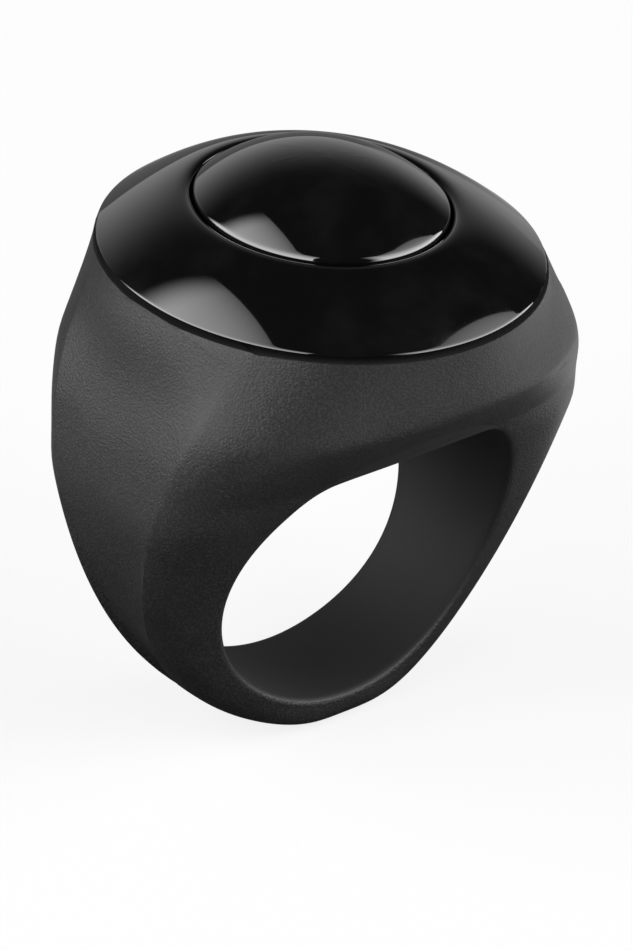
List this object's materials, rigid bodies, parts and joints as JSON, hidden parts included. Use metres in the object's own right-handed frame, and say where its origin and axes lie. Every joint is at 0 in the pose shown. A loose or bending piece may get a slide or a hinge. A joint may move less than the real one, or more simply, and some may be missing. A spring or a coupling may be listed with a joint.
{
  "type": "finger ring clicker trainer",
  "caption": "Training clicker worn as a finger ring: a soft rubber ring whose oval head holds a glossy domed bezel and a push button that snaps a spring leaf inside.",
  "frame": {"origin": "centre of the round part of the finger hole, half way along it", "axes": "+Y along the finger, away from the front; +Z from the finger up to the button; +X across the finger"},
  "size_m": [0.0348, 0.032, 0.0406],
  "materials": {
    "rubber": "soft matte, fine grain",
    "gloss_black": "polished",
    "case_black": "moulded, satin",
    "spring_steel": "rolled strip",
    "screw_steel": "plated"
  },
  "bodies": {
    "ring": {"ring_body": "rubber", "bezel": "gloss_black", "base_pan": "case_black", "click_leaf": "spring_steel", "leaf_screw": "screw_steel", "case_screws": "screw_steel"},
    "button": {"button": "gloss_black"}
  },
  "joints": [
    {"name": "button_press", "type": "slide", "parent": "ring", "child": "button", "axis": [0, 0, -1], "range_m": [0, 0.0015], "stiffness_N_per_m": 1500, "springref_m": -0.001, "deforming": ["click_leaf"]}
  ]
}
